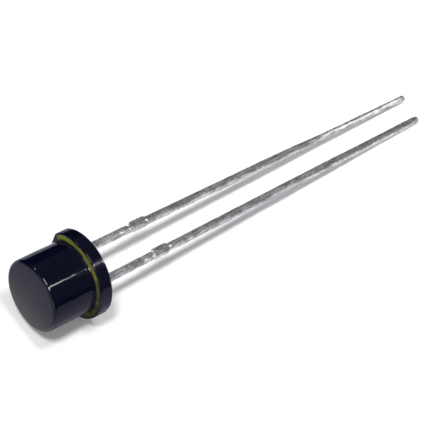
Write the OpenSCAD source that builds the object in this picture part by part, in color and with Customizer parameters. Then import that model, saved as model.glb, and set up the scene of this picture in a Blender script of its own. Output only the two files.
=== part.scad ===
// Phototransistor in a flat-topped round package with two square leads.
// The package axes: z runs from the back of the flange to the window face, and the
// leads leave the back towards -z, side by side along x. lie_down() then lays the part
// on the flange's rim and the two lead tips, with the leads towards +X.

/* [Moulded body] */
// Diameter of the barrel
barrel_d = 4.9; // [4.8:0.05:5.5]
// Height from the back of the flange to the window face
body_h = 4.2; // [4:0.05:6]
// Radius of the edge round the window face
window_edge_r = 0.25; // [0.1:0.05:0.5]
// How far the flange stands out from the barrel
flange_out = 0.5; // [0.35:0.05:0.7]
// Thickness of the flange
flange_t = 0.9; // [0.7:0.05:1.3]
// How far the flange's flat side stands out from the barrel
flat_out = 0.02; // [0.01:0.01:0.15]
// Radius of the flange's front edge
front_edge_r = 0.08; // [0.03:0.01:0.15]
// Radius of the flange's back edge
back_edge_r = 0.08; // [0.03:0.01:0.15]
// Height that the epoxy creeps out along each lead
creep_h = 0.12; // [0.05:0.01:0.25]
// How far that creep spreads round each lead
creep_w = 0.22; // [0.1:0.01:0.3]

/* [Colour ring] */
// Thickness of the paint
ring_t = 0.03; // [0.02:0.01:0.06]
// Bare gap between the barrel and the paint
ring_gap = 0.05; // [0.02:0.01:0.12]
// Bare margin outside the paint
ring_margin = 0.02; // [0.01:0.01:0.1]

/* [Leads] */
// Distance between the lead centres where they leave the body
pitch = 2.54; // [2.3:0.01:2.8]
// Width of a lead, and thickness of the sheet it is stamped from
lead_w = 0.44; // [0.35:0.01:0.55]
// Length of the collector lead behind the flange
collector_l = 30.2; // [12:0.1:36]
// Length of the emitter lead behind the flange
emitter_l = 29.8; // [12:0.1:36]
// How far the collector's tip leans in
collector_toe = 0.31; // [0:0.01:0.5]
// How far the emitter's tip leans in
emitter_toe = 0.27; // [0:0.01:0.5]
// Radius of the corners at the tips
tip_r = 0.17; // [0.03:0.01:0.17]
// Distance from the flange to the tie-bar stubs
stub_z = 5.1; // [2:0.1:8]
// Length of a stub along the lead
stub_l = 1.05; // [0.6:0.05:1.6]
// How far a stub stands out on the collector's outer side and the emitter's inner side
stub_tall = 0.12; // [0.06:0.01:0.3]
// How far it stands out on the other side
stub_low = 0.05; // [0.02:0.01:0.2]

/* [Posts inside the body] */
// Height of the chip's pad above the back of the flange
pad_z = 2.75; // [2.2:0.05:3]
// Diameter of the coined pad
pad_d = 1.2; // [1.1:0.05:1.3]
// Thickness of the coined pad
pad_t = 0.25; // [0.15:0.05:0.4]
// Width of the collector's post
post_w = 0.9; // [0.6:0.05:1]
// Height of the emitter's post above the back of the flange
emitter_z = 2.9; // [2.3:0.05:3.1]
// Width of the emitter's post
emitter_w = 0.72; // [0.5:0.02:0.75]
// Gap between the pad and the emitter's post
post_gap = 0.35; // [0.25:0.05:0.4]
// Height at which the leads widen inside the body
lock_z = 0.45; // [0.3:0.05:0.7]
// Height of the locking tabs
lock_h = 0.4; // [0.2:0.05:0.5]
// How far the locking tabs stand out from the leads
lock_out = 0.25; // [0.1:0.05:0.4]

/* [Chip and bond] */
// Side of the chip
die_w = 0.6; // [0.4:0.05:0.7]
// Thickness of the chip
die_t = 0.25; // [0.15:0.01:0.3]
// Thickness of the silver epoxy under the chip
attach_t = 0.03; // [0.02:0.01:0.05]
// Rim of silver epoxy round the chip
attach_rim = 0.05; // [0.02:0.01:0.08]
// Diameter of the bond wire
wire_d = 0.03; // [0.02:0.005:0.05]
// Diameter of the ball bond
ball_d = 0.09; // [0.07:0.01:0.12]
// Distance from the axis to the ball bond
ball_x = 0.15; // [0.05:0.01:0.2]
// Straight rise of the wire above the ball
wire_rise = 0.12; // [0.06:0.01:0.25]
// Radius of the bend above the ball
bend_r = 0.2; // [0.12:0.01:0.3]
// Length of the stitch on the emitter's post
stitch_l = 0.1; // [0.06:0.01:0.16]

/* [Hidden] */
$fn = 96;

barrel_r = barrel_d / 2;
flange_r = barrel_r + flange_out;
flat_x = barrel_r + flat_out;
lead_x = pitch / 2;
pad_top = pad_z + pad_t;
die_z = pad_top + attach_t;
die_top = die_z + die_t;
emitter_in = -(pad_d / 2 + post_gap);
emitter_out = emitter_in - emitter_w;
stitch_x = emitter_in - emitter_w / 2;
cut = 10;                // larger than the body, for cutting tools
corner_steps = 4;        // straight steps in a tip's rounded corner

// Tilt at which the flange's back edge and the longer lead's tip meet the surface together
long_l = max(collector_l, emitter_l);
lever = long_l + back_edge_r;
drop = flange_r - back_edge_r - lead_w / 2;
tilt = atan(drop / lever) + asin(back_edge_r / norm([lever, drop]));
x_front = -((body_h - window_edge_r) * cos(tilt) + (barrel_r - window_edge_r) * sin(tilt)
    + window_edge_r);
x_tips = long_l * cos(tilt) + lead_w / 2 * sin(tilt);
rest_z = long_l * sin(tilt) + lead_w / 2 * cos(tilt);

// Lays the upright package down, with its box centred over the origin
module lie_down() {
    translate([-(x_front + x_tips) / 2, (flange_r - flat_x) / 2, rest_z])
        rotate([0, tilt, 0])
            rotate([-90, 0, 90])
                children();
}

// Half section of a disc from z0 to z1, with its lower and upper edges rounded
module disc_section(r, z0, z1, low_r, high_r) {
    translate([0, z0]) square([r - low_r, z1 - z0 - high_r]);
    translate([0, z0 + low_r]) square([r, z1 - z0 - low_r - high_r]);
    translate([0, z0 + low_r]) square([r - high_r, z1 - z0 - low_r]);
    if (low_r > 0) edge_section(r, z0 + low_r, low_r);
    if (high_r > 0) edge_section(r, z1 - high_r, high_r);
}

module edge_section(r, z, edge_r) {
    translate([r - edge_r, z]) circle(edge_r);
}

// What keeps to the inner side of the flange's flat, moved in by inset
module inside_flat(inset = 0) {
    difference() {
        children();
        translate([flat_x - inset, -cut / 2, -cut / 2]) cube(cut);
    }
}

// ---- Moulded body ----

module moulded_form() {
    rotate_extrude() disc_section(barrel_r, 0, body_h, 0, window_edge_r);
    inside_flat()
        rotate_extrude() disc_section(flange_r, 0, flange_t, back_edge_r, front_edge_r);
    for (side = [-1, 1])
        translate([side * lead_x, 0, -creep_h])
            cylinder(h = creep_h, r1 = lead_w * sqrt(0.5), r2 = lead_w / 2 + creep_w);
}

module epoxy_body() {
    color("#16161c") lie_down() difference() {
        moulded_form();
        collector_form();
        emitter_form();
        attach_form();
        die_form();
        wire_form();
    }
}

module colour_ring() {
    color("#6b6a2c") lie_down() inside_flat(ring_margin + front_edge_r)
        translate([0, 0, flange_t])
            rotate_extrude()
                translate([barrel_r + ring_gap, 0])
                    square([flange_r - front_edge_r - ring_margin - barrel_r - ring_gap, ring_t]);
}

// ---- Leads ----

// Centre of a lead at s behind the flange. The lead's foot is at x0, and its tip, at
// length l, has moved by lean.
function lead_centre(x0, lean, l, s) = x0 + lean * s / l;

// One edge of the lead behind the body, from the flange to the start of the tip's corner.
// dir is the way the edge faces along x, and out is how far its stub stands out.
function lead_edge(x0, lean, l, dir, out) = [
    for (p = [
        [0, 0], [stub_z, 0], [stub_z, out], [stub_z + stub_l, out],
        [stub_z + stub_l + out, 0], [l - tip_r, 0]
    ])
        [lead_centre(x0, lean, l, p[0]) + dir * (lead_w / 2 + p[1]), -p[0]]
];

// Rounded corner of the tip, from the edge towards the end
function tip_corner(x0, lean, l, dir) = [
    for (i = [1 : corner_steps])
        let (a = 90 * i / corner_steps)
            [x0 + lean + dir * (lead_w / 2 - tip_r * (1 - cos(a))), -l + tip_r * (1 - sin(a))]
];

function reversed(list) = [for (i = [len(list) - 1 : -1 : 0]) list[i]];

// Outline of the lead behind the body, down its +x edge and back up its -x edge
function lead_outline(x0, lean, l) = concat(
    lead_edge(x0, lean, l, 1, stub_tall), tip_corner(x0, lean, l, 1),
    reversed(tip_corner(x0, lean, l, -1)), reversed(lead_edge(x0, lean, l, -1, stub_low))
);

// A flat outline in x and z, stamped from sheet of the leads' thickness
module stamped(outline) {
    translate([0, lead_w / 2, 0]) rotate([90, 0, 0])
        linear_extrude(lead_w) polygon(outline);
}

// Outline of the collector inside the body, from its -x edge up to the pad and back down
function collector_post() = [
    [lead_x - lead_w / 2, lock_z],
    [-post_w / 2, lock_z + lock_h],
    [-post_w / 2, pad_z],
    [post_w / 2, pad_z],
    [post_w / 2, lock_z + 2 * lock_h + lead_w / 2],
    [lead_x + lead_w / 2, lock_z + lock_h + lead_w / 2],
    [lead_x + lead_w / 2 + lock_out, lock_z + lock_h],
    [lead_x + lead_w / 2 + lock_out, lock_z],
    [lead_x + lead_w / 2, lock_z]
];

// Outline of the emitter inside the body, from its -x edge up to the bond land and back down
function emitter_post() = [
    [-lead_x - lead_w / 2, lock_z],
    [-lead_x - lead_w / 2 - lock_out, lock_z],
    [-lead_x - lead_w / 2 - lock_out, lock_z + lock_h],
    [emitter_out, lock_z + lock_h + lead_w / 2],
    [emitter_out, emitter_z],
    [emitter_in, emitter_z],
    [emitter_in, lock_z + lock_h + lead_w / 2],
    [-lead_x + lead_w / 2, lock_z]
];

module collector_form() {
    stamped(concat(lead_outline(lead_x, -collector_toe, collector_l), collector_post()));
    translate([0, 0, pad_z]) cylinder(h = pad_t, d = pad_d);
}

module emitter_form() {
    stamped(concat(lead_outline(-lead_x, emitter_toe, emitter_l), emitter_post()));
}

module collector_lead() {
    color("#a7a8ab") lie_down() collector_form();
}

module emitter_lead() {
    color("#a7a8ab") lie_down() emitter_form();
}

// ---- Chip and bond ----

// Square with rounded corners, centred
module round_square(w, r) {
    square([w, w - 2 * r], center = true);
    square([w - 2 * r, w], center = true);
    for (x = [-1, 1], y = [-1, 1])
        translate([x, y] * (w / 2 - r)) circle(r);
}

module attach_form() {
    translate([0, 0, pad_top])
        linear_extrude(attach_t) round_square(die_w + 2 * attach_rim, 1.5 * attach_rim);
}

module die_form() {
    translate([-die_w / 2, -die_w / 2, die_z]) cube([die_w, die_w, die_t]);
}

module die_attach() {
    color("#b9b9b4") lie_down() attach_form();
}

module transistor_die() {
    color("#4a4f5c") lie_down() die_form();
}

// Part of a ring in the x-z plane, from angle a0 over a span, about centre c
module wire_arc(c, r, a0, span) {
    translate([c[0], 0, c[1]]) rotate([90, 0, 0]) rotate([0, 0, a0])
        rotate_extrude(angle = span) translate([r, 0]) circle(d = wire_d);
}

// The wire rises from the ball, bends over, and comes down to the stitch in one wide arc
module wire_form() {
    rise_z = die_top + ball_d / 2 + wire_rise;
    reach = -stitch_x - ball_x - bend_r;
    fall = rise_z + bend_r - emitter_z - wire_d / 2;
    wide_r = (reach * reach + fall * fall) / (2 * fall);
    translate([-ball_x, 0, die_top]) {
        cylinder(h = ball_d / 2, d = ball_d);
        cylinder(h = ball_d / 2 + wire_rise, d = wire_d);
    }
    wire_arc([-ball_x - bend_r, rise_z], bend_r, 0, 90);
    wire_arc([-ball_x - bend_r, rise_z + bend_r - wide_r], wide_r, 90, asin(reach / wide_r));
    translate([stitch_x, 0, emitter_z]) cylinder(h = wire_d, d = stitch_l);
}

module bond_wire() {
    color("#d9b44a") lie_down() wire_form();
}

epoxy_body();
colour_ring();
collector_lead();
emitter_lead();
die_attach();
transistor_die();
bond_wire();
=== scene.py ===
import math

import bmesh
import bpy
from mathutils import Matrix, Vector, noise


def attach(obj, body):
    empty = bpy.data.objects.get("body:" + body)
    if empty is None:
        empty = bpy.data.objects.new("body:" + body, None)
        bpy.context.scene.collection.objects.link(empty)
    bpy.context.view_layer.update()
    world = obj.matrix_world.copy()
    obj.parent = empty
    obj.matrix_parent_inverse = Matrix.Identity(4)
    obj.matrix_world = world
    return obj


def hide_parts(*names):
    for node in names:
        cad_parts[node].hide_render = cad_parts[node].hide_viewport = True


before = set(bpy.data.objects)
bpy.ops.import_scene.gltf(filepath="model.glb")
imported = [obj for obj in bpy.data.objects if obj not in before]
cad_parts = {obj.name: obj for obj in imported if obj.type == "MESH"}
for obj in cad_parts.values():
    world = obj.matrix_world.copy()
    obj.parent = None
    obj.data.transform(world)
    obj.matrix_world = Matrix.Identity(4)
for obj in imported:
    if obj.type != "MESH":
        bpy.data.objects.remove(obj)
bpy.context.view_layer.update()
scene = bpy.context.scene
scene.view_settings.view_transform = "Standard"


# ---- Camera ----
# A long lens looks down on the part from the side of its window.

camera_lens = bpy.data.cameras.new("camera")
camera_lens.lens = 163.64
camera_lens.clip_start = 0.005
camera_lens.clip_end = 10
camera = bpy.data.objects.new("camera", camera_lens)
camera.location = (-0.066173, -0.0457, 0.108707)
camera.rotation_euler = (0.60264, -0.20101, -0.67418)
scene.collection.objects.link(camera)
scene.camera = camera


# ---- Moulded body ----
# One casting of black epoxy that lets infrared through: a round barrel with a satin
# window face and a wider flange with one flat side. It is cast window down, so its back
# is the free surface of the resin, which creeps out along the leads.

# Sizes are in millimetres.
MM = 0.001
BARREL_R = 2.45
BODY_H = 4.2
WINDOW_EDGE_R = 0.25
FLANGE_R = 2.95
FLANGE_T = 0.9
FLAT_X = 2.47
FLANGE_EDGE_R = 0.08
ROOT_R = 0.03
CORNER_POWER = 50
LEAD_X = 1.27
LEAD_HALF = 0.22
COLLECTOR_L = 30.2

# How far the resin creeps out along a lead, and the unevenness of its surfaces.
CREEP_H = 0.12
CREEP_FROM, CREEP_TO = 0.29, 0.5
WALL_WAVE, SIDE_WAVE, BACK_WAVE = 0.004, 0.008, 0.006
WINDOW_DISH = 0.006

# The package's own axes have z from the back of the flange to the window and the leads
# side by side along x. It lies on the flange's rim and the longer lead's tip.
lever = COLLECTOR_L + FLANGE_EDGE_R
drop = FLANGE_R - FLANGE_EDGE_R - LEAD_HALF
tilt = math.atan(drop / lever) + math.asin(FLANGE_EDGE_R / math.hypot(lever, drop))
x_front = -(
    (BODY_H - WINDOW_EDGE_R) * math.cos(tilt)
    + (BARREL_R - WINDOW_EDGE_R) * math.sin(tilt)
    + WINDOW_EDGE_R
)
x_tips = COLLECTOR_L * math.cos(tilt) + LEAD_HALF * math.sin(tilt)
rest_z = COLLECTOR_L * math.sin(tilt) + LEAD_HALF * math.cos(tilt)
to_row = (
    Matrix.Scale(MM, 4)
    @ Matrix.Translation((-(x_front + x_tips) / 2, (FLANGE_R - FLAT_X) / 2, rest_z))
    @ Matrix.Rotation(tilt, 4, "Y")
    @ Matrix(((0, 0, -1, 0), (1, 0, 0, 0), (0, -1, 0, 0), (0, 0, 0, 1)))
)
from_row = to_row.inverted()


def rough(point, scale, stretch=1.0):
    """Smooth noise from -1 to 1 at a point, drawn out along z by stretch."""
    x, y, z = point
    return noise.noise(Vector((x * scale, y * scale, z * scale / stretch)))


def skinned(rings):
    """Points and faces of a closed skin over rings of equal length, capped at both ends."""
    count = len(rings[0])
    points = [p for ring in rings for p in ring]
    faces = []
    for k in range(len(rings) - 1):
        for i in range(count):
            j = (i + 1) % count
            a, b = k * count, (k + 1) * count
            faces.append((a + i, a + j, b + j, b + i))
    for k in (0, len(rings) - 1):
        middle = sum((Vector(p) for p in rings[k]), Vector()) / count
        points.append(tuple(middle))
        tip = len(points) - 1
        faces += [(k * count + i, k * count + (i + 1) % count, tip) for i in range(count)]
    return points, faces


def add_piece(name, points, faces, finish, node, slot):
    """A smooth mesh from points in the package's axes that stands for a CAD node."""
    mesh = bpy.data.meshes.new(name)
    mesh.from_pydata([to_row @ Vector(p) for p in points], [], faces)
    form = bmesh.new()
    form.from_mesh(mesh)
    bmesh.ops.recalc_face_normals(form, faces=form.faces)
    form.to_mesh(mesh)
    form.free()
    mesh.shade_smooth()
    mesh.materials.append(finish)
    piece = bpy.data.objects.new(name, mesh)
    scene.collection.objects.link(piece)
    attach(piece, "root")
    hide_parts(node)
    return piece


class Wire:
    """One socket in a material, so that sums on it add Math nodes."""

    def __init__(self, tree, socket=None):
        self.tree, self.socket = tree, socket

    def add(self, kind, settings=None, inputs=None, out=0):
        """A node of a kind, with its settings set first, then its sockets."""
        node = self.tree.nodes.new("ShaderNode" + kind)
        for name, value in (settings or {}).items():
            setattr(node, name, value)
        for name, value in (inputs or {}).items():
            if isinstance(value, Wire):
                self.tree.links.new(value.socket, node.inputs[name])
            else:
                node.inputs[name].default_value = value
        return Wire(self.tree, node.outputs[out] if len(node.outputs) else None)

    def maths(self, operation, *values, clamp=False):
        settings = {"operation": operation, "use_clamp": clamp}
        return self.add("Math", settings, dict(enumerate(values)))

    def __add__(self, other):
        return self.maths("ADD", self, other)

    def __sub__(self, other):
        return self.maths("SUBTRACT", self, other)

    def __rsub__(self, other):
        return self.maths("SUBTRACT", other, self)

    def __mul__(self, other):
        return self.maths("MULTIPLY", self, other)

    __radd__, __rmul__ = __add__, __mul__

    def step(self, low, high):
        """0 below low and 1 above high, with a smooth change between."""
        settings = {"interpolation_type": "SMOOTHSTEP"}
        return self.add(
            "MapRange", settings, {"Value": self, "From Min": low, "From Max": high}
        )

    def noise(self, place, scale, detail=2.0, roughness=0.5):
        inputs = {
            "Vector": place, "Scale": scale, "Detail": detail, "Roughness": roughness
        }
        return self.add("TexNoise", None, inputs)

    def between(self, low, high):
        """A colour between two, by this wire."""
        settings = {"data_type": "RGBA"}
        inputs = {0: self, 6: colour_of(low), 7: colour_of(high)}
        return self.add("Mix", settings, inputs, out=2)

    def bump(self, height_mm, normal=None):
        """A normal from this wire as a height of up to height_mm."""
        inputs = {"Distance": height_mm * MM, "Height": self}
        if normal:
            inputs["Normal"] = normal
        return self.add("Bump", None, inputs)

    def distance(self, point):
        inputs = {0: self, 1: point}
        return self.add("VectorMath", {"operation": "DISTANCE"}, inputs, out="Value")

    def xyz(self):
        parts = self.add("SeparateXYZ", None, {"Vector": self}).socket.node
        return [Wire(self.tree, s) for s in parts.outputs]


def colour_of(value):
    return value if isinstance(value, Wire) else (*value, 1)


def new_finish(name):
    """An empty material, and its coordinates along the package's axes in millimetres."""
    finish = bpy.data.materials.new(name)
    finish.use_nodes = True
    finish.node_tree.nodes.clear()
    start = Wire(finish.node_tree)
    place, turn, scale = from_row.decompose()
    own = start.add(
        "Mapping",
        None,
        {
            "Vector": start.add("TexCoord", out="Object"),
            "Location": place,
            "Rotation": turn.to_euler(),
            "Scale": scale,
        },
    )
    return finish, start, own


def close_finish(start, inputs):
    start.add("OutputMaterial", None, {"Surface": start.add("BsdfPrincipled", None, inputs)})


black_epoxy, start, own = new_finish("black_epoxy")
own_z = own.xyz()[2]
on_window = own_z.step(BODY_H - 0.1, BODY_H - 0.01)
cloud = start.noise(own, 0.7, 3)
grain = start.noise(own, 38, 2, 0.7)
wave = start.noise(own, 1.6, 1)
smear = start.noise(own, 5, 4, 0.6)
on_flange = 1 - own_z.step(FLANGE_T, FLANGE_T + 0.1)
epoxy_roughness = (
    0.08
    + 0.05 * smear.step(0.5, 0.8)
    + on_window * (0.22 + 0.1 * cloud)
    + on_flange * 0.05
)
epoxy_colour = smear.between((0.0016, 0.0022, 0.009), (0.0028, 0.0032, 0.012))
from_edge = 3.9 - own_z
mould_line = own_z.step(1.06, 1.12) * (1 - own_z.step(1.14, 1.2))
wall_height = 0.007 * mould_line - (0.003 * from_edge * from_edge) * (1 - on_flange)
wall_bump = wall_height.bump(1, wave.bump(0.006))
epoxy_bump = (grain * (0.05 + 0.75 * on_window)).bump(0.0012, wall_bump)
close_finish(
    start,
    {
        "Base Color": epoxy_colour,
        "Roughness": epoxy_roughness,
        "IOR": 1.5,
        "Normal": epoxy_bump,
    },
)

RIM_POINTS = 288
angles = [2 * math.pi * i / RIM_POINTS for i in range(RIM_POINTS)]


def flange_side(a):
    """Radius of the flange's side at an angle, with its corners at the flat softened."""
    flat = FLAT_X / max(math.cos(a), 1e-6)
    return (FLANGE_R**-CORNER_POWER + flat**-CORNER_POWER) ** (-1 / CORNER_POWER)


def shrunk(a, limit):
    """An edge radius of limit, made smaller where the flange hardly stands out."""
    return min(limit, (flange_side(a) - BARREL_R) / 2)


def ring(radius, height):
    """A ring of points, with its radius and height as functions of the angle."""
    return [
        (radius(a) * math.cos(a), radius(a) * math.sin(a), height(a)) for a in angles
    ]


def back_height(x, y):
    """The resin's free surface: faint ripples, and a rise round each lead."""
    rise = 0.0
    for side in (-1, 1):
        away = math.hypot(x - side * LEAD_X, y)
        near = 1 - min(max((away - CREEP_FROM) / (CREEP_TO - CREEP_FROM), 0), 1)
        rise = max(rise, CREEP_H * near**1.8)
    return -rise + BACK_WAVE * (1 + rough((x, y, 0), 1.3))


def back_ring(share):
    """A ring of the back's surface, at a share of the way out to the flange's edge."""

    def radius(a):
        return share * (flange_side(a) - FLANGE_EDGE_R)

    def height(a):
        return back_height(radius(a) * math.cos(a), radius(a) * math.sin(a))

    return ring(radius, height)


def barrel_radius(a, z):
    """The barrel's wall, with the slight unevenness of a moulding."""
    return BARREL_R + WALL_WAVE * rough((math.cos(a), math.sin(a), z), 1.1, 2.5)


body_rings = [back_ring(0.03 + 0.97 * k / 84) for k in range(84)]
for k in range(7):
    t = math.radians(15 * k)
    body_rings.append(
        ring(
            lambda a: flange_side(a)
            - FLANGE_EDGE_R * (1 - math.sin(t))
            + SIDE_WAVE * rough((math.cos(a) * 3, math.sin(a) * 3, 5), 1.7) * math.cos(t),
            lambda a: FLANGE_EDGE_R * (1 - math.cos(t)),
        )
    )
for k in range(1, 9):
    body_rings.append(
        ring(flange_side, lambda a: FLANGE_EDGE_R + (FLANGE_T - 2 * FLANGE_EDGE_R) * k / 9)
    )
for k in range(7):
    t = math.radians(15 * k)
    body_rings.append(
        ring(
            lambda a: flange_side(a) - shrunk(a, FLANGE_EDGE_R) * (1 - math.cos(t)),
            lambda a: FLANGE_T - shrunk(a, FLANGE_EDGE_R) * (1 - math.sin(t)),
        )
    )
for k in range(1, 6):
    body_rings.append(
        ring(
            lambda a: (flange_side(a) - shrunk(a, FLANGE_EDGE_R)) * (1 - k / 6)
            + (BARREL_R + shrunk(a, ROOT_R)) * k / 6,
            lambda a: FLANGE_T,
        )
    )
for k in range(5):
    t = math.radians(22.5 * k)
    body_rings.append(
        ring(
            lambda a: barrel_radius(a, FLANGE_T) + shrunk(a, ROOT_R) * (1 - math.sin(t)),
            lambda a: FLANGE_T + shrunk(a, ROOT_R) * (1 - math.cos(t)),
        )
    )
wall_low, wall_high = FLANGE_T + ROOT_R, BODY_H - WINDOW_EDGE_R
for k in range(1, 24):
    z = wall_low + (wall_high - wall_low) * k / 24
    body_rings.append(ring(lambda a: barrel_radius(a, z), lambda a: z))
for k in range(13):
    t = math.radians(7.5 * k)
    body_rings.append(
        ring(
            lambda a: barrel_radius(a, wall_high) - WINDOW_EDGE_R * (1 - math.cos(t)),
            lambda a: wall_high + WINDOW_EDGE_R * math.sin(t),
        )
    )
for k in range(1, 16):
    share = 1 - k / 16
    dish = WINDOW_DISH * (1 - share**2)
    body_rings.append(
        ring(lambda a: (BARREL_R - WINDOW_EDGE_R) * share, lambda a: BODY_H - dish)
    )
add_piece("moulded_body", *skinned(body_rings), black_epoxy, "epoxy_body", "black_epoxy")


# ---- Code ring ----
# A band of olive-green paint brushed round the front of the flange. It runs from close
# to the barrel over the flange's front edge, thin at its borders, and stops at the flat; its
# lower side is darkened by painted shade.

PAINT_T, PAINT_BITE = 0.024, 0.004
PAINT_IN, PAINT_OUT = BARREL_R + 0.005, BARREL_R + 0.37
FULL_COLOUR_R = 2.61
PAINT_ENDS = math.radians(36)
PAINT_STEPS = 320
PAINT_ACROSS = 14

olive_paint, start, own = new_finish("olive_paint")
blotch = start.noise(own, 2.6, 3, 0.6)
speck = start.noise(own, 13, 3, 0.65)
own_x, own_y = own.xyz()[:2]
# Painted shade: the paint is made darker towards its lower side, where it lies in shade.
painted_shade_below = (own_y - 0.5 * own_x).step(-1.7, -0.2)
rub = start.noise(own, 1.1, 1)
from_axis = own.add("Mapping", None, {"Vector": own, "Scale": (1, 1, 0)})
reach = own.add("VectorMath", {"operation": "LENGTH"}, {0: from_axis}, out="Value")
border = own.maths("ABSOLUTE", reach - FULL_COLOUR_R).step(0.07, 0.24)
bare_inside = own_x.step(0.9, 1.9) * (1 - reach.step(2.48, 2.64))
# How dark the paint is: thin paint, blotches and bare patches, and painted shade on its lower
# side.
thin = (
    blotch * 0.6 + speck * 0.9 + rub * 0.4 + painted_shade_below * 0.28 + border * 0.26
    + bare_inside * 0.4
)
paint_colour = thin.step(0.94, 1.3).between((0.25, 0.255, 0.026), (0.03, 0.031, 0.014))
close_finish(
    start,
    {
        "Base Color": paint_colour,
        "Roughness": 0.5 + 0.2 * speck,
        "IOR": 1.48,
        "Specular IOR Level": 0.35,
        "Normal": (speck + 0.5 * start.noise(own, 40, 2)).bump(0.012),
    },
)


def flange_skin(a, along, lift):
    """A point lifted off the flange's front, so far along it from the paint's start."""
    edge = shrunk(a, FLANGE_EDGE_R)
    flat_end = flange_side(a) - edge - PAINT_IN
    if along < flat_end:
        r, z = PAINT_IN + along, FLANGE_T + lift
    else:
        t = min((along - flat_end) / edge, math.pi / 2)
        down = max(along - flat_end - edge * math.pi / 2, 0)
        r = flange_side(a) - edge + (edge + lift) * math.sin(t)
        z = FLANGE_T - edge + (edge + lift) * math.cos(t) - down
    return (r * math.cos(a), r * math.sin(a), z)


paint_rings = []
for k in range(PAINT_STEPS + 1):
    a = PAINT_ENDS + (2 * math.pi - 2 * PAINT_ENDS) * k / PAINT_STEPS
    where = (math.cos(a) * 3, math.sin(a) * 3, 0)
    first = 0.012 * (1 + rough(where, 1.5)) + 0.008 * rough(where, 6)
    last = PAINT_OUT - PAINT_IN + 0.05 * rough(where, 2.2) + 0.04 * rough(where, 9)
    top, bottom = [], []
    for i in range(PAINT_ACROSS + 1):
        share = i / PAINT_ACROSS
        along = first + (last - first) * share
        crown = min(1, 6 * share, 6 * (1 - share)) ** 0.5
        lift = PAINT_T * crown * (0.8 + 0.35 * rough((*where[:2], share * 2), 3)) + 0.002
        top.append(flange_skin(a, along, lift))
        bottom.append(flange_skin(a, along, -PAINT_BITE))
    paint_rings.append(top + bottom[::-1])
add_piece("code_ring", *skinned(paint_rings), olive_paint, "colour_ring", "olive_paint")


# ---- Leads ----
# Two square leads stamped from one steel strip and dipped in tin, with the sheared
# stubs of the bar that joined them. A lock holds each one in the casting, where the
# collector ends in a coined pad for the chip and the emitter in a post for the wire.

EMITTER_L = 29.8
STUB_AT, STUB_L, STUB_SLOPE = 4.9, 1.1, 0.06
STUB_TALL, STUB_LOW = 0.12, 0.05
TIP_R, TIP_CUT_R, TIP_WEAR_R = 0.2, 0.17, 0.2
EDGE_R = 0.045
EDGE_STEPS, FACE_STEPS = 6, 6
RING_GAP = 0.08
LOCK_Z, LOCK_H, LOCK_OUT = 0.45, 0.4, 0.25
POST_HALF = 0.45
PAD_Z, PAD_T, PAD_R = 2.75, 0.25, 0.6
EMITTER_Z, EMITTER_IN, EMITTER_OUT = 2.9, -0.95, -1.67

# Both leads lean inwards by so much at the tip, and their outer parts are twisted.
LEAN = {"collector": -0.31, "emitter": 0.27}
COLLECTOR_TWIST, EMITTER_TWIST = math.radians(24), math.radians(5)

# The tin bulges on each face by CROWN, is built up on the side towards the flat, and
# has lumps, most near the flange. A ridge, a notch and a burr mark the sheared stubs.
TIN_FROM = 0.3
CROWN, TIN_BUILD = 0.05, 0.05
ROOT_LUMPS, TIN_LUMPS = 0.011, 0.0045
RIDGE, NOTCH, BURR = 0.03, 0.02, 0.035

# Painted highlights: white dots that stand in for glints near the sheared tie bar, as x and
# the distance to the flange.
PAINTED_GLINT_DOTS = (
    (1.167, 6.1), (-1.254, 6.24), (1.43, 4.7), (1.09, 4.66), (-0.976, 4.86), (-1.367, 4.74),
    (-1.353, 4.08), (1.15, 3.92),
)

tinned_lead, start, own = new_finish("tinned_lead")
own_z = own.xyz()[2]
drawn = start.add("Mapping", None, {"Vector": own, "Scale": (8, 8, 0.7)})
pitted = start.add("Mapping", None, {"Vector": own, "Scale": (9, 9, 4)})
streak = start.noise(drawn, 1, 3, 0.6)
grain = start.noise(pitted, 1, 3, 0.65)
mottle = start.noise(own, 2.2, 2, 0.5)
by_root = own_z.step(-5.4, -4.9)
by_tip = 1 - own_z.step(-26, -17)
dull = (0.55 * streak + 0.35 * grain + 0.3 * mottle).step(0.5, 0.7)
pits = start.noise(own, 10, 2, 0.7).step(0.52, 0.66) * by_root
tin_colour = pits.between(
    dull.between((0.86, 0.85, 0.87), (0.36, 0.355, 0.37)), (0.2, 0.2, 0.205)
)
# Painted highlights: a mask of white matt dots, not metal, that stand in for glints on the
# leads.
painted_glints = 0
for x, s in PAINTED_GLINT_DOTS:
    away = own.distance((x, -LEAD_HALF, -s))
    painted_glints = painted_glints + (1 - away.step(0.06, 0.12))
close_finish(
    start,
    {
        "Base Color": painted_glints.between(tin_colour, (0.95, 0.95, 0.95)),
        "Metallic": 1 - painted_glints,
        "Roughness": 0.47 + 0.12 * dull - 0.16 * by_tip - 0.1 * painted_glints,
        "Normal": (grain * (0.6 + 1.6 * by_root) + streak * 0.8 + painted_glints).bump(0.04),
    },
)


def stub(s, out):
    """How far a stub stands out at a distance s behind the flange."""
    rise = min(max((s - STUB_AT) / STUB_SLOPE, 0), 1)
    fall = min(max((STUB_AT + STUB_L + out - s) / max(out, 1e-6), 0), 1)
    return out * min(rise, fall)


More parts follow.
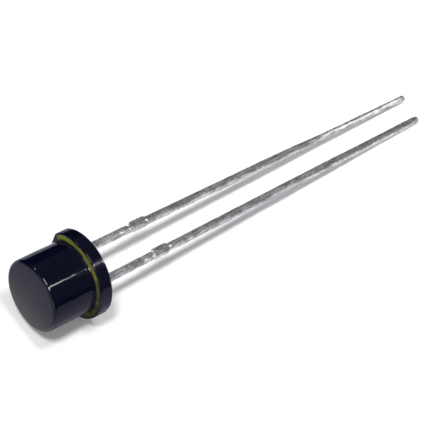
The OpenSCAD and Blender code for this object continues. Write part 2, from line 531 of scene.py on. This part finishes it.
def rounded(low, high, half, radii, height):
    """A ring round a rectangle, with a radius for each corner in turn."""
    corners = [(high, -half), (low, -half), (low, half), (high, half)]
    starts = [270, 180, 90, 0]
    points = []
    for n, ((cx, cy), begin) in enumerate(zip(corners, starts)):
        r = radii[n]
        mx = cx - r if cx == high else cx + r
        my = cy + r if cy < 0 else cy - r
        for i in range(EDGE_STEPS):
            t = math.radians(begin + 90 - 90 * i / (EDGE_STEPS - 1))
            points.append((mx + r * math.cos(t), my + r * math.sin(t), height))
        x0, y0 = points[-1][:2]
        nx, ny = corners[(n + 1) % 4]
        q = radii[(n + 1) % 4]
        if n % 2 == 0:
            x1, y1 = (nx + q if nx == low else nx - q), y0
        else:
            x1, y1 = x0, (ny - q if ny > 0 else ny + q)
        for i in range(1, FACE_STEPS):
            share = i / FACE_STEPS
            points.append((x0 + (x1 - x0) * share, y0 + (y1 - y0) * share, height))
    return points


def hump(s, centre, width):
    """A rise to 1 at a place along the lead, that fades out over a width on both sides."""
    return math.exp(-(((s - centre) / width) ** 2))


def smooth(low, high, value):
    t = min(max((value - low) / (high - low), 0), 1)
    return t * t * (3 - 2 * t)


def uneven(points, middle, s, seed):
    """The points moved in or out by the tin's unevenness, more so near the flange."""
    if s < TIN_FROM:
        return points
    lumps = ROOT_LUMPS if s < STUB_AT + 0.1 else TIN_LUMPS
    ridge = RIDGE * hump(s, STUB_AT + 0.03, 0.05)
    notch = NOTCH * hump(s, STUB_AT - 0.18, 0.09)
    moved = []
    for x, y, z in points:
        away = Vector((x - middle, y, 0))
        away.normalize()
        at = (x + seed, y, z)
        coarse, fine, drawn = rough(at, 6, 1.5), rough(at, 15), rough(at, 9, 10)
        move = lumps * coarse + 0.5 * lumps * fine + 0.003 * drawn
        lift = move - notch + (ridge if y < 0 else 0)
        moved.append((x + away.x * move, y + away.y * lift, z))
    return moved


def crowned(points, middle):
    """The points with each face of the lead bulged a little, as tin sets on it."""
    moved = []
    for x, y, z in points:
        u, v = (x - middle) / LEAD_HALF, y / LEAD_HALF
        across = (x - middle) * (1 - CROWN * v * v)
        moved.append((middle + across, y * (1 - CROWN * min(u * u, 1)), z))
    return moved


def twisted(points, middle, turn, radius):
    """The points turned about the lead's axis, shrunk to keep the lead's height."""
    c, n = math.cos(turn), math.sin(turn)
    k = LEAD_HALF / ((LEAD_HALF - radius) * (c + abs(n)) + radius)
    return [
        (middle + k * (c * (x - middle) - n * y), k * (n * (x - middle) + c * y), z)
        for x, y, z in points
    ]


def lead_tail(side, name, length, roll, turn):
    """Rings from the tip to the foot of a lead.

    Both roll, the radius of its upper edge on the -x side, and turn, its twist, are
    functions of the distance s behind the flange.
    """
    foot, seed = side * LEAD_X, 7 * side
    marks = {length - m for m in (0.02, 0.05, 0.09, 0.13, 0.17, 0.22)}
    marks |= {STUB_AT - 0.005, STUB_AT + STUB_SLOPE}
    marks |= {STUB_AT + STUB_L, STUB_AT + STUB_L + STUB_LOW, STUB_AT + STUB_L + STUB_TALL}
    marks |= {RING_GAP * k for k in range(int((length - 0.25) / RING_GAP))}
    rings = []
    for s in sorted(marks, reverse=True):
        middle = foot + LEAN[name] * s / length
        end = length - s
        cut = TIP_R - math.sqrt(max(TIP_R**2 - max(TIP_R - end, 0) ** 2, 0))
        thin = TIP_CUT_R - math.sqrt(max(TIP_CUT_R**2 - max(TIP_CUT_R - end, 0) ** 2, 0))
        half = LEAD_HALF - thin
        low = middle - LEAD_HALF + cut - stub(s, STUB_LOW)
        high = middle + LEAD_HALF - cut + stub(s, STUB_TALL)
        high += TIN_BUILD * smooth(TIN_FROM, 1, s)
        most = 0.45 * min(2 * half, high - low)
        worn = TIP_WEAR_R * (1 - smooth(0.1, 0.7, end))
        far_edge = EDGE_R + LEAD_HALF * abs(turn(s))
        radii = [min(max(r, worn), most) for r in (far_edge, roll(s), 0.05, EDGE_R)]
        burr = BURR * hump(s, STUB_AT + STUB_L + 0.3, 0.06)
        points = rounded(low, high, half, radii, -s)
        points = [
            (x - burr, y - burr, z) if x < middle and y < -0.12 else (x, y, z)
            for x, y, z in points
        ]
        points = uneven(crowned(points, middle), middle, s, seed)
        rings.append(twisted(points, middle, turn(s), radii[1]))
    return rings


def collector_roll(s):
    return 0.05 + 0.012 * rough((s, 1, 0), 2) + 0.05 * smooth(18.5, 25, s)


def collector_turn(s):
    return -COLLECTOR_TWIST * smooth(18, 24, s)


def emitter_roll(s):
    return 0.05 + 0.02 * rough((s, 3, 0), 3) + 0.05 * smooth(26.5, 29.4, s)


def emitter_turn(s):
    return -EMITTER_TWIST * smooth(20, 26, s)


square = (0.04, 0.04, 0.04, 0.04)
collector_rings = lead_tail(1, "collector", COLLECTOR_L, collector_roll, collector_turn)
for low, high, z in (
    (LEAD_X - LEAD_HALF, LEAD_X + LEAD_HALF, LOCK_Z - 0.02),
    (LEAD_X - LEAD_HALF - 0.08, LEAD_X + LEAD_HALF + LOCK_OUT, LOCK_Z + 0.02),
    (-POST_HALF, LEAD_X + LEAD_HALF + LOCK_OUT, LOCK_Z + LOCK_H),
    (-POST_HALF, LEAD_X + LEAD_HALF, LOCK_Z + LOCK_H + LEAD_HALF),
    (-POST_HALF, POST_HALF, LOCK_Z + 2 * LOCK_H + LEAD_HALF),
    (-POST_HALF, POST_HALF, PAD_Z - 0.02),
):
    collector_rings.append(rounded(low, high, LEAD_HALF, square, z))
for r, z in (
    (PAD_R - 0.03, PAD_Z),
    (PAD_R, PAD_Z + 0.03),
    (PAD_R, PAD_Z + PAD_T - 0.03),
    (PAD_R - 0.03, PAD_Z + PAD_T),
):
    collector_rings.append(rounded(-r, r, r, (r * 0.99,) * 4, z))
add_piece("collector", *skinned(collector_rings), tinned_lead, "collector_lead", "tinned_lead")

emitter_rings = lead_tail(-1, "emitter", EMITTER_L, emitter_roll, emitter_turn)
for low, high, z in (
    (-LEAD_X - LEAD_HALF, -LEAD_X + LEAD_HALF, LOCK_Z - 0.02),
    (-LEAD_X - LEAD_HALF - LOCK_OUT, -LEAD_X + LEAD_HALF, LOCK_Z + 0.02),
    (-LEAD_X - LEAD_HALF - LOCK_OUT, EMITTER_IN - 0.02, LOCK_Z + LOCK_H),
    (EMITTER_OUT, EMITTER_IN, LOCK_Z + LOCK_H + LEAD_HALF),
    (EMITTER_OUT, EMITTER_IN, EMITTER_Z - 0.02),
    (EMITTER_OUT + 0.02, EMITTER_IN - 0.02, EMITTER_Z),
):
    emitter_rings.append(rounded(low, high, LEAD_HALF, square, z))
add_piece("emitter", *skinned(emitter_rings), tinned_lead, "emitter_lead", "tinned_lead")


# ---- Chip and its bond ----
# The silicon chip is fixed to the collector's pad with silver-filled epoxy, which climbs
# a little up its sides. A gold wire is ball-bonded to the chip's aluminium contact and
# stitched to the emitter's post.

DIE_HALF, DIE_T = 0.3, 0.25
ATTACH_Z = PAD_Z + PAD_T
DIE_Z = ATTACH_Z + 0.03
DIE_TOP = DIE_Z + DIE_T
WELL_HALF, CONTACT_R = 0.255, 0.075
BALL_X = -0.15
BALL_PROFILE = (
    (0.03, 0), (0.042, 0.006), (0.045, 0.018), (0.042, 0.032), (0.03, 0.043), (0.0165, 0.05),
)
WIRE_R = 0.015
WIRE_SIDES = 16
BEND_START, BEND_TURN_R = 0.165, 0.2

silver_epoxy, start, own = new_finish("silver_epoxy")
flake = start.noise(own, 90, 2, 0.7)
close_finish(
    start,
    {
        "Base Color": flake.between((0.42, 0.42, 0.4), (0.66, 0.66, 0.63)),
        "Metallic": 0.6,
        "Roughness": 0.45 + 0.15 * flake,
        "Normal": flake.bump(0.002),
    },
)

silicon, start, own = new_finish("silicon")
own_x, own_y, own_z = own.xyz()
in_x = 1 - own_x.maths("ABSOLUTE", own_x).step(WELL_HALF, WELL_HALF + 0.005)
in_y = 1 - own_y.maths("ABSOLUTE", own_y).step(WELL_HALF, WELL_HALF + 0.005)
base_well = in_x * in_y * own_z.step(DIE_TOP - 0.004, DIE_TOP - 0.002)
from_ball = own.distance((BALL_X, 0, DIE_TOP))
contact = (1 - from_ball.step(CONTACT_R, CONTACT_R + 0.005)) * base_well
haze = start.noise(own, 12, 3)
wafer = base_well.between((0.13, 0.14, 0.17), (0.035, 0.06, 0.13))
close_finish(
    start,
    {
        "Base Color": contact.between(wafer, (0.82, 0.82, 0.83)),
        "Metallic": 0.85,
        "Roughness": 0.12 + 0.1 * haze + 0.2 * contact,
        "Normal": haze.bump(0.001),
    },
)

gold, start, own = new_finish("gold")
draw = start.noise(own, 60, 2)
close_finish(
    start,
    {
        "Base Color": draw.between((0.95, 0.7, 0.26), (0.78, 0.53, 0.17)),
        "Metallic": 1.0,
        "Roughness": 0.2 + 0.12 * draw,
        "Normal": draw.bump(0.0008),
    },
)

attach_rings = [
    rounded(-h, h, h, (max(h - 0.27, 0.004),) * 4, z)
    for h, z in (
        (0.2, ATTACH_Z),
        (0.35, ATTACH_Z),
        (0.346, ATTACH_Z + 0.014),
        (0.33, ATTACH_Z + 0.028),
        (0.314, ATTACH_Z + 0.045),
        (0.304, ATTACH_Z + 0.07),
        (0.3, ATTACH_Z + 0.072),
        (0.298, DIE_Z),
        (0.2, DIE_Z),
    )
]
add_piece("chip_adhesive", *skinned(attach_rings), silver_epoxy, "die_attach", "silver_epoxy")

chip_rings = [
    rounded(-h, h, h, (0.006,) * 4, z)
    for h, z in (
        (DIE_HALF - 0.006, DIE_Z),
        (DIE_HALF, DIE_Z + 0.006),
        (DIE_HALF, DIE_TOP - 0.006),
        (DIE_HALF - 0.006, DIE_TOP),
    )
]
add_piece("chip", *skinned(chip_rings), silicon, "transistor_die", "silicon")


def hoop(centre, along, radius, flatten=1.0):
    """A ring of the wire's skin across its run in the x-z plane."""
    across = Vector((-along.z, 0, along.x))
    return [
        tuple(
            centre
            + across * (radius * flatten * math.cos(t))
            + Vector((0, 1, 0)) * (radius / flatten * math.sin(t))
        )
        for t in (2 * math.pi * i / WIRE_SIDES for i in range(WIRE_SIDES))
    ]


up = Vector((0, 0, 1))
wire_rings = []
for r, rise in BALL_PROFILE:
    wire_rings.append(hoop(Vector((BALL_X, 0, DIE_TOP + rise)), up, r))
ball_top = DIE_TOP + BALL_PROFILE[-1][1]
bend_z = DIE_TOP + BEND_START
for k in range(1, 5):
    z = ball_top + (bend_z - ball_top) * k / 5
    wire_rings.append(hoop(Vector((BALL_X, 0, z)), up, WIRE_R))


def arc_hoop(centre_x, centre_z, radius, t, flatten=1.0):
    """A ring of the wire's skin on a bend, at an angle t from +x."""
    centre = Vector((centre_x + radius * math.cos(t), 0, centre_z + radius * math.sin(t)))
    return hoop(centre, Vector((-math.sin(t), 0, math.cos(t))), WIRE_R, flatten)


bend_x = BALL_X - BEND_TURN_R
for k in range(13):
    wire_rings.append(arc_hoop(bend_x, bend_z, BEND_TURN_R, math.radians(90 * k / 12)))
stitch_x = (EMITTER_IN + EMITTER_OUT) / 2
top_z = bend_z + BEND_TURN_R
reach = bend_x - stitch_x
fall = top_z - EMITTER_Z - WIRE_R
wide_r = (reach * reach + fall * fall) / (2 * fall)
span = math.asin(reach / wide_r)
for k in range(1, 25):
    t = math.pi / 2 + span * k / 24
    flatten = 1 - 0.45 * smooth(21, 24, k)
    wire_rings.append(arc_hoop(bend_x, top_z - wide_r, wide_r, t, flatten))
for beyond, thick in ((0.02, 0.5), (0.045, 0.35), (0.06, 0.2)):
    centre = Vector((stitch_x - beyond, 0, EMITTER_Z + WIRE_R * thick + 0.001))
    wire_rings.append(hoop(centre, Vector((-1, 0, 0)), WIRE_R, thick))
add_piece("bond_wire_loop", *skinned(wire_rings), gold, "bond_wire", "gold")


# ---- Floor and lamps ----
# A white surface curves up into a low white surround. Far lamps above light the part
# and cast its shadows. A long tube and small lamps make the highlights, and grey and
# black cards that only reflections show keep the epoxy's sides dark.

FLOOR_R, BEND_R, WALL_H = 0.35, 0.07, 0.08
FLOOR_SIDES = 96
SURFACE_LIFT, FAR_LIFT = 0.15, 0.6

white_floor = bpy.data.materials.new("white_floor")
white_floor.use_nodes = True
white_floor.node_tree.nodes.clear()
start = Wire(white_floor.node_tree)
path = start.add("LightPath").socket.node.outputs
seen = start.maths(
    "ADD",
    Wire(start.tree, path["Is Camera Ray"]),
    Wire(start.tree, path["Is Glossy Ray"]) + Wire(start.tree, path["Is Transmission Ray"]),
    clamp=True,
)
where = start.add("TexCoord", out="Object")
away = start.add("VectorMath", {"operation": "LENGTH"}, {0: where}, out="Value")
far = away.step(0.12, 0.3)
diffuse = start.add("BsdfDiffuse", None, {"Color": (0.84, 0.84, 0.84, 1)})
glow = start.add("Emission", None, {"Color": seen * (SURFACE_LIFT + FAR_LIFT * far)})
surface = start.add("AddShader", None, {0: diffuse, 1: glow})
start.add("OutputMaterial", None, {"Surface": surface})

floor_rings = [(FLOOR_R * k / 12, 0.0) for k in range(1, 13)]
for k in range(1, 10):
    t = math.radians(10 * k)
    floor_rings.append((FLOOR_R + BEND_R * math.sin(t), BEND_R * (1 - math.cos(t))))
floor_rings.append((FLOOR_R + BEND_R, WALL_H))
floor_points = [(0, 0, 0)]
for r, z in floor_rings:
    for i in range(FLOOR_SIDES):
        t = 2 * math.pi * i / FLOOR_SIDES
        floor_points.append((r * math.cos(t), r * math.sin(t), z))
floor_faces = []
for i in range(FLOOR_SIDES):
    j = (i + 1) % FLOOR_SIDES
    floor_faces.append((0, 1 + i, 1 + j))
    for k in range(len(floor_rings) - 1):
        a, b = 1 + k * FLOOR_SIDES, 1 + (k + 1) * FLOOR_SIDES
        floor_faces.append((a + i, b + i, b + j, a + j))
floor_mesh = bpy.data.meshes.new("floor")
floor_mesh.from_pydata(floor_points, [], floor_faces)
floor_mesh.shade_smooth()
floor_mesh.materials.append(white_floor)
floor = bpy.data.objects.new("floor", floor_mesh)
scene.collection.objects.link(floor)

world = bpy.data.worlds.new("room")
world.use_nodes = True
world.node_tree.nodes["Background"].inputs["Color"].default_value = (0.92, 0.94, 1, 1)
world.node_tree.nodes["Background"].inputs["Strength"].default_value = 0.07
scene.world = world

# Cards in millimetres: x from, x to, y from, y to for those that lie on the surface, and
# x from, x to, y, height for those that stand on it.
CARD_FRONT_Y, CARD_BACK_Y = -80, 16
LYING_CARDS = (
    (-17.5, -12, CARD_FRONT_Y, CARD_BACK_Y),
    (-90, -18.8, CARD_FRONT_Y, CARD_BACK_Y),
    (-12, 60, CARD_FRONT_Y, -6),
    (-12, -10, -6, -3.1),
    (-2, 60, -6, -3),
    (-17, -5, 7.6, CARD_BACK_Y),
)
STANDING_CARDS = ((-90, 40, CARD_FRONT_Y, 24), (-60, 30, CARD_BACK_Y, 12))
CARD_Z = 0.02


def card_finish(name, colour):
    """A matt material without highlights."""
    finish = bpy.data.materials.new(name)
    finish.use_nodes = True
    shader = finish.node_tree.nodes["Principled BSDF"]
    shader.inputs["Base Color"].default_value = (*colour, 1)
    shader.inputs["Specular IOR Level"].default_value = 0
    return finish


corners = []
for x0, x1, y0, y1 in LYING_CARDS:
    corners += [(x0, y0, CARD_Z), (x1, y0, CARD_Z), (x1, y1, CARD_Z), (x0, y1, CARD_Z)]
for x0, x1, y, height in STANDING_CARDS:
    corners += [(x0, y, 0), (x1, y, 0), (x1, y, height), (x0, y, height)]
card_mesh = bpy.data.meshes.new("card")
card_mesh.from_pydata(
    [[c * MM for c in corner] for corner in corners],
    [],
    [range(k, k + 4) for k in range(0, len(corners), 4)],
)
card_mesh.materials.append(card_finish("card_grey", (0.3, 0.3, 0.4)))
card_mesh.materials.append(card_finish("card_black", (0, 0, 0)))
for polygon in card_mesh.polygons:
    polygon.material_index = int(polygon.index >= len(LYING_CARDS))
card = bpy.data.objects.new("card", card_mesh)
card.visible_camera = card.visible_diffuse = card.visible_shadow = False
scene.collection.objects.link(card)

package_at = to_row @ Vector((0, 0, 2))


def add_lamp(name, toward, distance, size, radiance):
    """A lamp that faces the package from a direction, its length along the package."""
    data = bpy.data.lights.new(name, "AREA")
    data.shape = "RECTANGLE"
    data.size, data.size_y = size
    data.energy = radiance * math.pi * size[0] * size[1]
    lamp = bpy.data.objects.new(name, data)
    back = Vector(toward).normalized()
    along = (Vector((1, 0, 0)) - back * back.x).normalized()
    turn = Matrix((along, back.cross(along), back)).transposed().to_4x4()
    lamp.matrix_world = Matrix.Translation(package_at + back * distance) @ turn
    scene.collection.objects.link(lamp)
    return lamp


def add_sun(name, toward, strength, spread):
    """A lamp far away in a direction, as wide as spread in degrees."""
    data = bpy.data.lights.new(name, "SUN")
    data.energy, data.angle = strength, math.radians(spread)
    lamp = bpy.data.objects.new(name, data)
    lamp.rotation_euler = Vector(toward).to_track_quat("Z", "Y").to_euler()
    scene.collection.objects.link(lamp)
    return lamp


# A sun has a direction, a strength and a spread in degrees, and makes no highlights.
SUNS = (
    ("main_lamp", (-0.35, -0.08, 0.93), 1.9, 10),
    ("other_lamp", (0.1, -0.08, 0.99), 1.0, 10),
    ("soft_lamp", (-0.1, -0.15, 0.98), 0.4, 80),
)

# The others have a direction, a distance, a size and a radiance. These four make only
# highlights.
HIGHLIGHT_LAMPS = (
    ("tube_lamp", (0.0035, -0.114, 0.25), 0.2748, (0.3675, 0.015), 12),
    ("front_lamp", (-0.14, -0.127, 0.25), 0.3135, (0.13, 0.05), 11),
    ("end_lamp", (0.26, -0.124, 0.25), 0.3814, (0.05, 0.045), 22),
    ("box_lamp", (-0.4, -0.05, 0.91), 0.35, (0.1, 0.12), 12),
)
for name, toward, strength, spread in SUNS:
    add_sun(name, toward, strength, spread).visible_glossy = False
for name, toward, distance, size, radiance in HIGHLIGHT_LAMPS:
    add_lamp(name, toward, distance, size, radiance).visible_diffuse = False
add_lamp("far_lamp", (-0.311, 0.68, 0.664), 0.35, (0.07, 0.03), 12)
